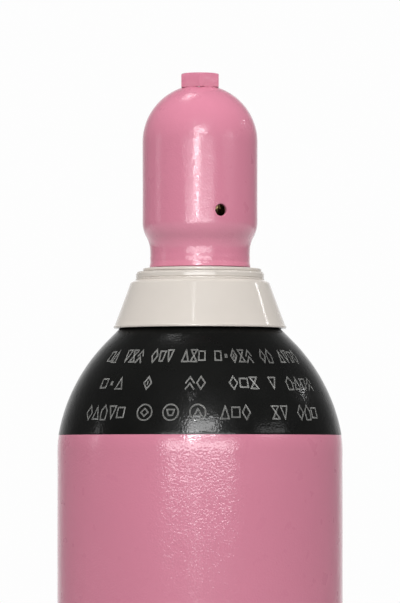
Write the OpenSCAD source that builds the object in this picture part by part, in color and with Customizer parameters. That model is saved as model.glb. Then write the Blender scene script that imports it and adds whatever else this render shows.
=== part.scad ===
// Seamless steel gas cylinder with a screwed valve cap, a plastic neck collar, and the valve under the cap.
// The origin is the centre of the standing rim. +Z runs up the cylinder axis, -Y is the front.
// The valve outlet points along +X. All sizes are millimetres.

/* [Cylinder] */
// Outside diameter of the shell
shell_d = 267; // [264:1:270]
// Thickness of the straight wall
shell_wall = 6.8; // [5:0.1:8]
// Height at which the shoulder begins to curve in
shoulder_z = 1280; // [900:5:1500]
// Radius of the shoulder's lower arc
dome_r1 = 96; // [94:1:98]
// Radius of the shoulder's upper arc
dome_r2 = 164.5; // [163:0.5:166]
// Angle above horizontal at which the two arcs meet
dome_blend = 11.2; // [10:0.1:12]
// Radius of the rounded foot corner
foot_r = 20; // [15:1:25]
// Radius at which the hollow of the concave base begins
base_hollow_r = 100; // [95:1:104]
// Height of the concave base at its centre
base_hollow_h = 45; // [35:1:55]
// Thickness of the steel over the concave base
base_wall = 12; // [10:0.5:14]

/* [Neck] */
// Outside radius of the forged neck
neck_r = 34; // [33:0.5:35]
// Height of the neck's top face above the start of the shoulder
neck_top_h = 199; // [197:0.5:201]
// Fillet between the neck and the shoulder
neck_fillet = 10; // [8:0.5:11]
// Crest radius of the neck ring's cap thread
cap_thread_r = 40; // [39.5:0.1:40.2]
// Radius of the neck ring's plain land, which the collar turns on
land_r = 43; // [42.5:0.1:43.2]
// Radius of the neck ring's bottom flange
ring_flange_r = 46; // [45:0.5:48]

/* [Collar] */
// Radius of the skirt at its bottom rim
skirt_r = 80.7; // [80:0.1:82]
// Radius of the skirt at the top of its cone
skirt_top_r = 65.1; // [64:0.1:66]
// Height of the skirt's bottom rim above the start of the shoulder
skirt_z = 114.6; // [114:0.1:116]
// Height of the skirt's cone
skirt_h = 42.8; // [42:0.1:43]
// Thickness of the skirt
skirt_wall = 3.5; // [2.5:0.1:3.8]
// Outside radius of the lock ring
lock_ring_r = 60; // [59:0.1:61]
// Outside radius of the loose top ring
top_ring_r = 55.5; // [54:0.1:56]
// How far the loose top ring lies off centre
top_ring_offset = 2; // [0:0.1:2.5]

/* [Cap] */
// Outside radius of the cap
cap_r = 54; // [53:0.5:55]
// Wall thickness of the cap
cap_wall = 3.5; // [3:0.1:4]
// Height of the cap's bottom rim above the start of the shoulder
cap_z = 171.7; // [171.5:0.1:172]
// Height of the cap's neck below its waist curve
cap_neck_h = 14.7; // [14:0.1:16]
// Radius of the two arcs of the waist
waist_r = 29; // [27:0.5:31]
// Angle that each arc of the waist turns through
waist_angle = 29; // [27:0.5:30]
// Height of the centre of the cap's round top above the cap's bottom rim
cap_dome_h = 117.8; // [110:0.1:125]
// Distance across the flats of the hexagon on top
hex_flats = 35; // [32:1:36]
// Height of the top of the hexagon above the crown of the cap
hex_h = 10.3; // [8:0.1:12]
// Diameter of the two vent holes
vent_d = 11; // [8:0.5:12]
// Height of the vent holes above the cap's bottom rim
vent_z = 51.6; // [48:0.1:60]
// Direction of the front vent hole, turned from the front towards +X
vent_turn = 21.4; // [0:0.1:45]

/* [Valve] */
// Large radius of the taper thread, at the neck's top face
taper_r = 14.34; // [14.2:0.01:14.4]
// Length of the taper thread inside the neck
taper_len = 24; // [22:1:25]
// Crest radius of the outlet thread
outlet_r = 12.16; // [12:0.01:12.4]
// Distance of the outlet's end face from the valve axis
outlet_reach = 34; // [32:0.5:36]
// Height of the outlet's axis above the neck's top face
outlet_h = 30; // [29.5:0.5:31]
// Radius of the chamber in which the lower spindle climbs
chamber_r = 9.05; // [9.02:0.01:9.1]
// Radius of the spindle where it passes through the gland
spindle_r = 5; // [4.8:0.1:5]
// Running clearance on the spindle
spindle_gap = 0.05; // [0.03:0.01:0.1]
// Distance across the flats of the gland nut
gland_flats = 27; // [26:1:28]

/* [Handwheel] */
// Outside radius of the handwheel
wheel_r = 31; // [28:1:33]
// Radius of the handwheel rim's round section
rim_r = 5.5; // [5:0.5:6]
// Number of finger notches
notches = 6; // [5:1:7]
// Turns of the handwheel spring
spring_turns = 4; // [3:1:5]

/* [Hidden] */
$fn = 96;

STEEL = [0.55, 0.56, 0.57];
BRASS = [0.72, 0.58, 0.30];
PINK = [0.85, 0.52, 0.62];
IVORY = [0.87, 0.85, 0.82];
NYLON = [0.90, 0.88, 0.80];
BLACK = [0.08, 0.08, 0.08];
eps = 0.01;
// How far neighbouring pieces of one outline run into each other
lap = 1;

// Shell: outer arcs of the shoulder, then a 45 degree cone up to the neck
shell_r = shell_d / 2;
arc1_x = shell_r - dome_r1;
blend_z = shoulder_z + dome_r1 * sin(dome_blend);
arc2_x = arc1_x - (dome_r2 - dome_r1) * cos(dome_blend);
arc2_z = shoulder_z - (dome_r2 - dome_r1) * sin(dome_blend);
cone_x = arc2_x + dome_r2 * cos(45);
cone_z = arc2_z + dome_r2 * sin(45);
cone_foot = [neck_r, cone_z + cone_x - neck_r];
fillet_at = [neck_r + neck_fillet, cone_foot.y - neck_fillet + neck_fillet * sqrt(2)];
fillet_low = fillet_at - neck_fillet * [cos(45), sin(45)];
fillet_high = [neck_r, fillet_at.y];
neck_top = shoulder_z + neck_top_h;
neck_chamfer = 1.5;

// Shell: concave base and the cavity
base_r = (pow(base_hollow_r, 2) + pow(base_hollow_h, 2)) / (2 * base_hollow_h);
base_z = base_hollow_h - base_r;
cavity_r = shell_r - shell_wall;
cavity_corner = 14;
cavity_floor = 11;
cavity_blend_z = shoulder_z + (dome_r1 - shell_wall) * sin(dome_blend);
cavity_cone_x = arc2_x + (dome_r2 - shell_wall) * cos(45);
cavity_cone_z = arc2_z + (dome_r2 - shell_wall) * sin(45);
throat_r = 13.5;
throat_z = neck_top - 46;
taper_slope = 3 / 50;
seal_t = 0.3;
bore_len = 28;
bore_top_r = taper_r + seal_t;
bore_low_r = bore_top_r - bore_len * taper_slope;

// Neck ring
ring_z = neck_top - 46.5;
ring_flange_h = 3;
ring_top = neck_top - 3;
ring_land_top = neck_top - 31.5;
ring_relief_r = 38.5;
ring_relief_h = 8;
thread_chamfer = 1.5;

// Collar
skirt_low = shoulder_z + skirt_z;
skirt_high = skirt_low + skirt_h;
skirt_slope = (skirt_r - skirt_top_r) / skirt_h;
web_low = ring_z + ring_flange_h + 0.3;
web_high = skirt_high + 2.2;
web_bore_r = land_r + 0.4;
web_edge_r = 61;
groove_r = 50;
groove_w = 2;
groove_depth = 1.5;
lock_low = web_high;
lock_lip_h = 2;
lock_high = lock_low + 8;
top_ring_low = lock_high + 0.35;
top_ring_h = 3.1;
top_ring_bore_r = 46;

// Cap
cap_low = shoulder_z + cap_z;
cap_dome_z = cap_low + cap_dome_h;
cap_neck_r = cap_r - 2 * waist_r * (1 - cos(waist_angle));
waist_low = cap_low + cap_neck_h;
waist_mid = waist_low + waist_r * sin(waist_angle);
waist_high = waist_mid + waist_r * sin(waist_angle);
waist_mid_r = cap_neck_r + waist_r * (1 - cos(waist_angle));
cap_bore_r = cap_thread_r + 0.3;
cap_bore_top = waist_mid;
cap_flare = 0.5;
cap_flare_h = 4;
hex_top = cap_dome_z + cap_r + hex_h;
hex_low = hex_top - 13;

// Valve: every height here is counted from the neck's top face
flange_r = 17;
flange_low = 2;
flange_high = 5;
square_flats = 30;
square_r = 19;
square_high = 22;
trunk_r = 15;
trunk_high = 58;
boss_r = 13.5;
boss_reach = 18;
relief_len = 2;
nose_chamfer = 1;
nipple_r = 6.5;
nipple_depth = 3;
flow_r = 3;
chamber_low = 22;
chamber_high = 44;
nozzle_r = 4.6;
nozzle_high = 24.5;
gland_r = 11;
gland_low = 49.4;
gasket_h = 1.2;
gland_hex_h = 10;
o_ring_low = 52;
o_ring_r = 1.05;
o_ring_gap = 0.25;
backup_h = 1;
groove_top = 55.3;
gland_groove_r = 7.4;
gland_high = trunk_high + gasket_h + gland_hex_h;

// Spindles
seat_r = 5.5;
seat_h = 3.5;
plug_nose_r = 6.8;
plug_nose_low = nozzle_high + 0.7;
plug_thread_low = 31;
plug_high = 41;
plug_thread_r = 9;
socket_w = 7.2;
socket_low = 31.5;
tongue_w = 7;
tongue_low = 35.5;
disc_low = 45.2;
disc_high = 48.2;
disc_r = 8.6;
slip_low = 48.3;

// Handwheel and what holds it
hub_r = 9;
hub_low = 71;
hub_high = 86;
wheel_square = 6.5;
square_low = 72;
spring_seat = 80;
spring_pocket_r = 6.5;
stud_r = 3;
stud_high = 93.5;
rim_z = 77;
wheel_web_h = 4;
notch_r = 7;
notch_at = wheel_r + 2.5;
window_r = 3.6;
window_at = 15.5;
spring_mean_r = 4.8;
spring_wire_r = 0.7;
spring_low = spring_seat + spring_wire_r;
spring_high = hub_high - spring_wire_r;
washer_r = 8.5;
washer_h = 1;
nut_flats = 10;
nut_h = 5;

// ---- shared shapes ----

module slab(r, low, high) {
    translate([0, low]) square([r, high - low]);
}

// What lies between the axis and the right side of a circle, between two heights
module arc_band(x, z, r, low, high) {
    if (x > 0) slab(x, low, high);
    intersection() {
        translate([x, z]) circle(r);
        slab(2 * r, low, high);
    }
}

// A round ring with a rectangular section
module ring(inner, outer, low, high) {
    rotate_extrude() translate([inner, low]) square([outer - inner, high - low]);
}

// A hexagonal prism, measured across its flats, with a corner towards -Y
module hexagon(flats, low, high) {
    translate([0, 0, low]) rotate(30) cylinder(r = flats / 2 / cos(30), h = high - low, $fn = 6);
}

// A square prism centred on the axis
module square_bar(w, low, high) {
    translate([-w / 2, -w / 2, low]) cube([w, w, high - low]);
}

// A plain shaft between two heights
module shaft(r, low, high) {
    translate([0, 0, low]) cylinder(r = r, h = high - low);
}

// ---- shell ----

module shell_outline() {
    slab(shell_r - foot_r, 0, foot_r + lap);
    translate([shell_r - foot_r, foot_r]) circle(foot_r);
    slab(shell_r, foot_r, shoulder_z);
    arc_band(arc1_x, shoulder_z, dome_r1, shoulder_z - lap, blend_z + lap);
    arc_band(arc2_x, arc2_z, dome_r2, blend_z, cone_z + lap);
    polygon([[0, cone_z], [cone_x, cone_z], cone_foot, [0, cone_foot.y]]);
    polygon([
        [0, cone_foot.y - lap], [neck_r, cone_foot.y - lap], [neck_r, neck_top - neck_chamfer],
        [neck_r - neck_chamfer, neck_top], [0, neck_top]
    ]);
    difference() {
        polygon([[0, fillet_low.y], fillet_low, fillet_at, fillet_high, [0, fillet_high.y]]);
        translate(fillet_at) circle(neck_fillet);
    }
}

module cavity_outline() {
    difference() {
        union() {
            slab(cavity_r - cavity_corner, cavity_floor, cavity_floor + cavity_corner + lap);
            translate([cavity_r - cavity_corner, cavity_floor + cavity_corner]) circle(cavity_corner);
            slab(cavity_r, cavity_floor + cavity_corner, shoulder_z);
            arc_band(arc1_x, shoulder_z, dome_r1 - shell_wall, shoulder_z - lap, cavity_blend_z + lap);
            arc_band(arc2_x, arc2_z, dome_r2 - shell_wall, cavity_blend_z, cavity_cone_z + lap);
            polygon([
                [0, cavity_cone_z], [cavity_cone_x, cavity_cone_z], [throat_r, throat_z], [0, throat_z]
            ]);
            slab(throat_r, throat_z - lap, neck_top - bore_len + lap);
        }
        translate([0, base_z]) circle(base_r + base_wall);
    }
    polygon([
        [0, neck_top - bore_len], [bore_low_r, neck_top - bore_len],
        [bore_top_r + eps * taper_slope, neck_top + eps], [0, neck_top + eps]
    ]);
}

module cylinder_shell() {
    color(PINK) rotate_extrude() difference() {
        shell_outline();
        arc_band(0, base_z, base_r, -eps, base_hollow_h);
        cavity_outline();
    }
}

module neck_ring() {
    color(STEEL) difference() {
        union() {
            ring(neck_r, ring_flange_r, ring_z, ring_z + ring_flange_h);
            ring(neck_r, land_r, ring_z, ring_land_top);
            ring(neck_r, cap_thread_r, ring_land_top, ring_top - thread_chamfer);
            translate([0, 0, ring_top - thread_chamfer]) cylinder(
                r1 = cap_thread_r, r2 = cap_thread_r - thread_chamfer, h = thread_chamfer
            );
        }
        shaft(neck_r, ring_z - 1, ring_top + 1);
        translate([0, 0, ring_z]) cylinder(r1 = ring_relief_r, r2 = neck_r, h = ring_relief_h);
    }
}

// ---- collar ----

module collar_skirt() {
    color(IVORY) rotate_extrude() difference() {
        polygon([
            [skirt_r - skirt_wall, skirt_low], [skirt_r, skirt_low], [skirt_top_r, skirt_high],
            [web_edge_r, web_high], [web_bore_r, web_high], [web_bore_r, web_low],
            [skirt_top_r - skirt_wall + (skirt_high - web_low) * skirt_slope, web_low]
        ]);
        translate([groove_r, web_high - groove_depth]) square([groove_w, groove_depth + eps]);
    }
}

module collar_lock_ring() {
    color(IVORY) {
        rotate_extrude() polygon([
            [web_bore_r, lock_low], [lock_ring_r + 0.3, lock_low],
            [lock_ring_r + 0.3, lock_low + lock_lip_h - 0.3], [lock_ring_r - 0.7, lock_low + lock_lip_h],
            [lock_ring_r, lock_low + lock_lip_h + 0.3], [lock_ring_r, lock_high - 1.5],
            [lock_ring_r - 1, lock_high - 1.3], [lock_ring_r - 1, lock_high], [web_bore_r, lock_high]
        ]);
        ring(groove_r + 0.1, groove_r + groove_w - 0.1, lock_low - groove_depth + 0.1, lock_low + eps);
    }
}

module collar_top_ring() {
    color(IVORY) translate([top_ring_offset, 0, 0])
        ring(top_ring_bore_r, top_ring_r, top_ring_low, top_ring_low + top_ring_h);
}

// ---- cap ----

// The cap's silhouette from its waist up, grown inwards by inset
module cap_outline(inset) {
    arc_x = cap_neck_r + waist_r;
    bend_z = waist_mid - inset * sin(waist_angle);
    difference() {
        slab(waist_mid_r - inset * cos(waist_angle), waist_low, bend_z);
        translate([arc_x, waist_low]) circle(waist_r + inset);
    }
    arc_band(cap_r - waist_r, waist_high, waist_r - inset, bend_z - lap, waist_high + lap);
    slab(cap_r - inset, waist_high, cap_dome_z);
    arc_band(0, cap_dome_z, cap_r - inset, cap_dome_z - lap, cap_dome_z + cap_r);
}

module cap_shell() {
    color(PINK) difference() {
        rotate_extrude() difference() {
            union() {
                cap_outline(0);
                slab(cap_neck_r, cap_low + cap_flare_h - lap, waist_low + lap);
                polygon([
                    [0, cap_low], [cap_neck_r + cap_flare, cap_low],
                    [cap_neck_r, cap_low + cap_flare_h], [0, cap_low + cap_flare_h]
                ]);
            }
            difference() {
                cap_outline(cap_wall);
                slab(cap_r, waist_low, cap_bore_top);
            }
            slab(cap_bore_r, cap_low - eps, cap_bore_top + eps);
        }
        rotate(vent_turn) translate([0, 0, cap_low + vent_z]) rotate([90, 0, 0])
            cylinder(d = vent_d, h = 2 * cap_r + 2, center = true);
    }
}

module cap_hex_boss() {
    color(PINK) difference() {
        intersection() {
            hexagon(hex_flats, hex_low, hex_top);
            rotate_extrude() polygon([
                [0, hex_low], [hex_flats, hex_low], [hex_flats, hex_top - hex_flats / 2 * tan(30)],
                [hex_flats / 2, hex_top], [0, hex_top]
            ]);
        }
        translate([0, 0, cap_dome_z]) sphere(cap_r);
    }
}

// ---- valve, drawn from the neck's top face ----

module at_neck() {
    translate([0, 0, neck_top]) children();
}

module thread_seal() {
    seal_low = 2 - taper_len;
    color(NYLON) at_neck() difference() {
        translate([0, 0, seal_low]) cylinder(
            r1 = bore_top_r + seal_low * taper_slope, r2 = bore_top_r, h = -seal_low
        );
        translate([0, 0, -taper_len]) cylinder(
            r1 = taper_r - taper_len * taper_slope, r2 = taper_r + taper_slope, h = taper_len + 1
        );
    }
}

module valve_outlet() {
    translate([0, 0, outlet_h]) rotate([0, 90, 0]) {
        shaft(boss_r, 0, boss_reach);
        shaft(outlet_r - 1, boss_reach, boss_reach + relief_len);
        shaft(outlet_r, boss_reach + relief_len, outlet_reach - nose_chamfer);
        translate([0, 0, outlet_reach - nose_chamfer]) cylinder(
            r1 = outlet_r, r2 = outlet_r - nose_chamfer, h = nose_chamfer
        );
    }
}

module valve_passages() {
    shaft(flow_r, -taper_len - 1, nozzle_high + 1);
    ring(nozzle_r, chamber_r, chamber_low, nozzle_high + eps);
    shaft(chamber_r, nozzle_high, chamber_high + eps);
    shaft(gland_r, chamber_high, trunk_high + 1);
    translate([0, 0, outlet_h]) rotate([0, 90, 0]) {
        shaft(flow_r, 0, outlet_reach + 1);
        shaft(nipple_r, outlet_reach - nipple_depth, outlet_reach + 1);
    }
}

module valve_body() {
    color(BRASS) at_neck() difference() {
        union() {
            translate([0, 0, -taper_len]) cylinder(
                r1 = taper_r - taper_len * taper_slope, r2 = taper_r, h = taper_len
            );
            shaft(taper_r, 0, flange_low);
            shaft(flange_r, flange_low, flange_high);
            intersection() {
                square_bar(square_flats, flange_high, square_high);
                shaft(square_r, flange_high, square_high);
            }
            shaft(trunk_r, square_high, trunk_high);
            valve_outlet();
        }
        valve_passages();
    }
}

module valve_seat() {
    color(NYLON) at_neck() shaft(seat_r, nozzle_high, nozzle_high + seat_h);
}

module lower_spindle() {
    color(BRASS) at_neck() difference() {
        union() {
            shaft(plug_nose_r, plug_nose_low, plug_thread_low);
            shaft(plug_thread_r, plug_thread_low, plug_high);
        }
        shaft(seat_r, plug_nose_low - 1, nozzle_high + seat_h);
        square_bar(socket_w, socket_low, plug_high + 1);
    }
}

module upper_spindle() {
    color(BRASS) at_neck() {
        square_bar(tongue_w, tongue_low, disc_low);
        shaft(disc_r, disc_low, disc_high);
        shaft(spindle_r, disc_high, square_low);
        square_bar(wheel_square, square_low, spring_seat);
        shaft(stud_r, spring_seat, stud_high);
    }
}

module slip_washer() {
    color(NYLON) at_neck() ring(spindle_r + o_ring_gap, disc_r, slip_low, gland_low);
}

module spindle_o_ring() {
    color(BLACK) at_neck() rotate_extrude()
        translate([spindle_r + o_ring_gap + o_ring_r, o_ring_low + o_ring_r]) circle(o_ring_r);
}

module backup_ring() {
    color(NYLON) at_neck() ring(
        spindle_r + o_ring_gap, gland_groove_r, groove_top - backup_h, groove_top
    );
}

module gland_gasket() {
    color(NYLON) at_neck() ring(gland_r, gland_flats / 2, trunk_high, trunk_high + gasket_h);
}

module gland_nut() {
    color(BRASS) at_neck() difference() {
        union() {
            shaft(gland_r, gland_low, trunk_high + gasket_h);
            hexagon(gland_flats, trunk_high + gasket_h, gland_high);
        }
        shaft(spindle_r + spindle_gap, gland_low - 1, gland_high + 1);
        shaft(gland_groove_r, o_ring_low - 0.1, groove_top);
    }
}

// ---- handwheel ----

module handwheel() {
    color(BLACK) at_neck() difference() {
        union() {
            shaft(hub_r, hub_low, hub_high);
            shaft(wheel_r - rim_r, rim_z - wheel_web_h / 2, rim_z + wheel_web_h / 2);
            rotate_extrude() translate([wheel_r - rim_r, rim_z]) circle(rim_r);
        }
        for (i = [0 : notches - 1]) rotate(i * 360 / notches) {
            translate([notch_at, 0, 0]) shaft(notch_r, rim_z - rim_r - 1, rim_z + rim_r + 1);
            rotate(180 / notches) translate([window_at, 0, 0])
                shaft(window_r, rim_z - rim_r, rim_z + rim_r);
        }
        square_bar(wheel_square, hub_low - 1, spring_seat);
        shaft(spindle_r + spindle_gap, hub_low - 1, square_low);
        shaft(spring_pocket_r, spring_seat, hub_high + 1);
    }
}

// One ring of the spring's wire, and the faces that join each ring to the next
module handwheel_spring() {
    sides = 8;
    rings = spring_turns * 16;
    rise = spring_high - spring_low;
    wire = [
        for (i = [0 : rings], k = [0 : sides - 1])
            let (a = 360 * spring_turns * i / rings, b = 360 * k / sides)
            let (r = spring_mean_r + spring_wire_r * cos(b))
            [r * cos(a), r * sin(a), spring_low + rise * i / rings + spring_wire_r * sin(b)]
    ];
    skin = [
        for (i = [0 : rings - 1], k = [0 : sides - 1])
            let (n = (k + 1) % sides)
            [i * sides + k, i * sides + n, (i + 1) * sides + n, (i + 1) * sides + k]
    ];
    first = [for (k = [0 : sides - 1]) sides - 1 - k];
    last = [for (k = [0 : sides - 1]) rings * sides + k];
    color(STEEL) at_neck() polyhedron(wire, concat(skin, [first], [last]));
}

module handwheel_washer() {
    color(STEEL) at_neck() ring(stud_r, washer_r, hub_high, hub_high + washer_h);
}

module handwheel_nut() {
    color(STEEL) at_neck() difference() {
        hexagon(nut_flats, hub_high + washer_h, hub_high + washer_h + nut_h);
        shaft(stud_r, hub_high, stud_high + 1);
    }
}

cylinder_shell();
neck_ring();
collar_skirt();
collar_lock_ring();
collar_top_ring();
cap_shell();
cap_hex_boss();
thread_seal();
valve_body();
valve_seat();
lower_spindle();
upper_spindle();
slip_washer();
spindle_o_ring();
backup_ring();
gland_gasket();
gland_nut();
handwheel();
handwheel_spring();
handwheel_washer();
handwheel_nut();
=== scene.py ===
"""Looks for the gas cylinder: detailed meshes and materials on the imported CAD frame.

Outlines are (radius, height) pairs in millimetres, turned round the cylinder axis. Azimuth 0 is the
front (-Y) and grows towards +X. Heights are counted from named places that come from the frame.
"""

import math

import bmesh
import bpy
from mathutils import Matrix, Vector, noise

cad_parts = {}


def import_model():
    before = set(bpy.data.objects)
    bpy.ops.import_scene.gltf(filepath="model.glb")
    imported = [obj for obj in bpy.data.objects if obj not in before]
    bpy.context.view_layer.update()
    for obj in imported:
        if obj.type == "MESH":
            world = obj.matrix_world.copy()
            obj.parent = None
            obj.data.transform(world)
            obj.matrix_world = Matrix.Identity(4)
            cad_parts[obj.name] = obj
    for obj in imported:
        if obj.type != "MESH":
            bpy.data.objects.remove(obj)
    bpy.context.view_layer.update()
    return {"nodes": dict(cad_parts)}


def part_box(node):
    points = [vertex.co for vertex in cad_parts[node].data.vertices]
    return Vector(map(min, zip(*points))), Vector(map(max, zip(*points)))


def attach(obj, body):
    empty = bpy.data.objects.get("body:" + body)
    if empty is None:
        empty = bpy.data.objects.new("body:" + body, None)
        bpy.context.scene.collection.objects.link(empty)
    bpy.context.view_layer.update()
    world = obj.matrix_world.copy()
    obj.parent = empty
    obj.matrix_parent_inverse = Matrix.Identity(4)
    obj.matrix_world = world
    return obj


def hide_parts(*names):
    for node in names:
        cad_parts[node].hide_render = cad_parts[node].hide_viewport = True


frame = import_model()

MM = 0.001
TINY = 1e-6


def top_of(node):
    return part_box(node)[1].z / MM


def foot_of(node):
    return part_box(node)[0].z / MM


# ---- places and sizes, in millimetres; the places come from the frame ----

# How far the neck's top and the border of the paints lie over the start of the shoulder, and how far
# the lock ring's tongue reaches down into the skirt
NECK_RISE = 199
BORDER_RISE = 15
LOCK_TONGUE = 1.4

SHELL_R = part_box("cylinder_shell")[1].x / MM
NECK_TOP = top_of("cylinder_shell")
SHOULDER = NECK_TOP - NECK_RISE
BORDER = SHOULDER + BORDER_RISE
CAP_LOW = foot_of("cap_shell")
SKIRT_LOW = foot_of("collar_skirt")
LOCK_LOW = foot_of("collar_lock_ring") + LOCK_TONGUE
TOP_RING_LOW = foot_of("collar_top_ring")
RING_LOW = foot_of("neck_ring")
RING_TOP = top_of("neck_ring")
HEX_LOW = foot_of("cap_hex_boss")
HEX_TOP = top_of("cap_hex_boss")

# Shell: wall, rounded standing rim, hollow base under a domed floor
WALL = 6.8
FOOT_R = 20
HOLLOW_R, HOLLOW_H = 100, 45
BASE_R = (HOLLOW_R**2 + HOLLOW_H**2) / (2 * HOLLOW_H)
BASE_Z = HOLLOW_H - BASE_R
BASE_WALL = 12
FLOOR_Z = 11
CORNER_R = 14

# Shoulder: a lower arc, an upper arc tangent to it, then a 45 degree cone up to the neck
ARC1_R, ARC2_R, BLEND = 96, 164.5, 11.2
ARC1_X = SHELL_R - ARC1_R
ARC2_X = ARC1_X - (ARC2_R - ARC1_R) * math.cos(math.radians(BLEND))
ARC2_Z = SHOULDER - (ARC2_R - ARC1_R) * math.sin(math.radians(BLEND))
CONE_X = ARC2_X + ARC2_R * math.sqrt(0.5)
CONE_Z = ARC2_Z + ARC2_R * math.sqrt(0.5)

# Neck: where the painted cone and the cavity end, the bore and its taper
CONE_END = CONE_Z + 32
NECK_R = 34
FILLET_R = 10
THROAT_R = 13.5
CAVITY_END = (17.2, NECK_TOP - 49)
BORE_TOP_R = 14.64
TAPER = 0.06

# How far the black paint stands over the pink, and height and length of the steel's waves
PAINT_EDGE = 0.12
SLOW_H, SLOW_L = 0.16, 62
QUICK_H, QUICK_L = 0.03, 17

# Cap: the waist is two arcs, each bending by WAIST_ANGLE
CAP_R = 54
CAP_WALL = 3.5
WAIST_R, WAIST_ANGLE = 29, 29
CAP_NECK_R = CAP_R - 2 * WAIST_R * (1 - math.cos(math.radians(WAIST_ANGLE)))
WAIST_LOW = CAP_LOW + 14.7
WAIST_HIGH = WAIST_LOW + 2 * WAIST_R * math.sin(math.radians(WAIST_ANGLE))
DOME_Z = CAP_LOW + 117.8
THREAD_R = 40
THREAD_PITCH = 25.4 / 11
THREAD_DEPTH = 1.4
VENT_R, VENT_Z, VENT_TURN = 5.5, 51.6, 21.4

# Valve outlet
OUTLET_Z = NECK_TOP + 30
OUTLET_R = 12.16
OUTLET_PITCH = 25.4 / 14

# Edges sharper than these are shaded sharp, and are rounded by soften()
SHARP_ANGLE = math.radians(32)
SOFTENED_ANGLE = math.radians(28)


# ---- mesh building ----


def arc(x, z, radius, start, end, steps=12):
    """Points on a circle in the outline plane, from start to end degrees above +r."""
    angles = [math.radians(start + (end - start) * i / steps) for i in range(steps + 1)]
    return [(x + radius * math.cos(a), z + radius * math.sin(a)) for a in angles]


def rounded(corners, steps=4):
    """A closed outline from (r, z, fillet radius) corners."""
    points = []
    for i, (r, z, fillet) in enumerate(corners):
        here = Vector((r, z))
        before = Vector(corners[i - 1][:2]) - here
        after = Vector(corners[(i + 1) % len(corners)][:2]) - here
        if fillet <= 0 or before.length < TINY or after.length < TINY:
            points.append((r, z))
            continue
        half = before.angle(after) / 2
        if half > math.radians(88) or half < math.radians(3):
            points.append((r, z))
            continue
        reach = min(fillet / math.tan(half), before.length * 0.48, after.length * 0.48)
        a, b = here + before.normalized() * reach, here + after.normalized() * reach
        for k in range(steps + 1):
            t = k / steps
            p = a * (1 - t) ** 2 + here * 2 * t * (1 - t) + b * t**2
            points.append((p.x, p.y))
    return points


def fine(points, step):
    """The same outline with no stretch longer than step."""
    out = []
    for (r0, z0), (r1, z1) in zip(points, points[1:]):
        n = max(1, math.ceil(math.hypot(r1 - r0, z1 - z0) / step))
        out += [(r0 + (r1 - r0) * i / n, z0 + (z1 - z0) * i / n) for i in range(n)]
    return out + [points[-1]]


def finish_mesh(mesh):
    """Cleans a mesh, turns its faces outwards and shades it smooth between its sharp edges."""
    bm = bmesh.new()
    bm.from_mesh(mesh)
    bmesh.ops.remove_doubles(bm, verts=bm.verts, dist=1e-7)
    bmesh.ops.dissolve_degenerate(bm, edges=bm.edges, dist=1e-8)
    bmesh.ops.recalc_face_normals(bm, faces=bm.faces)
    bm.to_mesh(mesh)
    bm.free()
    mesh.shade_smooth()
    mesh.set_sharp_from_angle(angle=SHARP_ANGLE)


def add_piece(name, verts, faces, *materials, shades=None):
    """Makes a piece of the object. shades says which of its materials each face has."""
    mesh = bpy.data.meshes.new(name)
    mesh.from_pydata(verts, [], faces)
    if shades:
        mesh.polygons.foreach_set("material_index", shades)
    finish_mesh(mesh)
    piece = bpy.data.objects.new(name, mesh)
    bpy.context.scene.collection.objects.link(piece)
    for material in materials:
        piece.data.materials.append(material)
    return piece


def lathe(name, outline, material, segments=160, shape=None):
    """Turns a closed outline round the axis. shape(azimuth in radians, r, z) may move each point."""
    count = len(outline)
    verts, faces = [], []
    for i in range(segments):
        turn = 2 * math.pi * i / segments
        for r, z in outline:
            if shape and r > TINY:
                r, z = shape(turn, r, z)
            verts.append((r * math.sin(turn) * MM, -r * math.cos(turn) * MM, z * MM))
    for i in range(segments):
        here, there = i * count, (i + 1) % segments * count
        for j in range(count):
            k = (j + 1) % count
            if outline[j][0] > TINY or outline[k][0] > TINY:
                faces.append((here + j, there + j, there + k, here + k))
    return add_piece(name, verts, faces, material)


def combine(piece, others, operation):
    """Joins, cuts or intersects piece with the other objects, which are used up."""
    for other in others:
        step = piece.modifiers.new(operation, "BOOLEAN")
        step.operation, step.object, step.solver = operation, other, "EXACT"
        settle(piece)
        bpy.data.objects.remove(other)
    return piece


def settle(piece):
    """Applies piece's modifiers to its mesh."""
    evaluated = piece.evaluated_get(bpy.context.evaluated_depsgraph_get())
    piece.data = bpy.data.meshes.new_from_object(evaluated)
    piece.modifiers.clear()
    finish_mesh(piece.data)
    return piece


def soften(piece, width):
    """Rounds the piece's sharp edges by width millimetres."""
    step = piece.modifiers.new("soften", "BEVEL")
    step.width, step.segments = width * MM, 3
    step.limit_method, step.angle_limit = "ANGLE", SOFTENED_ANGLE
    step.harden_normals = True
    return settle(piece)


def prism(name, flats, low, high, material, sides=6):
    """A regular prism with a corner towards -Y."""
    radius = flats / 2 / math.cos(math.pi / sides)
    turns = [2 * math.pi * i / sides for i in range(sides)]
    verts = [
        (radius * math.sin(t) * MM, -radius * math.cos(t) * MM, z * MM)
        for z in (low, high)
        for t in turns
    ]
    faces = [tuple(range(sides)), tuple(range(2 * sides - 1, sides - 1, -1))]
    faces += [(i, (i + 1) % sides, (i + 1) % sides + sides, i + sides) for i in range(sides)]
    return add_piece(name, verts, faces, material)


def hexagon(name, flats, low, high, material, bore=0.0, under=True):
    """A hexagon chamfered at 30 degrees above and, with under, below."""
    slope = math.radians(30)
    corner = flats / 2 / math.cos(slope) + 0.1
    land = flats / 2 - 0.3
    drop = (corner - land) * math.tan(slope)
    outline = [(0, low)]
    outline += [(land, low), (corner, low + drop)] if under else [(corner, low)]
    outline += [(corner, high - drop), (land, high), (0, high)]
    sides = prism("cut", flats, low - 1, high + 1, None)
    piece = combine(lathe(name, outline, material, 96), [sides], "INTERSECT")
    if bore:
        combine(piece, [rod("bore", bore, low - 1, high + 1, None)], "DIFFERENCE")
    return piece


def rod(name, radius, low, high, material, segments=64):
    """A plain cylinder, for cutting and joining."""
    return lathe(name, [(0, low), (radius, low), (radius, high), (0, high)], material, segments)


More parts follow.
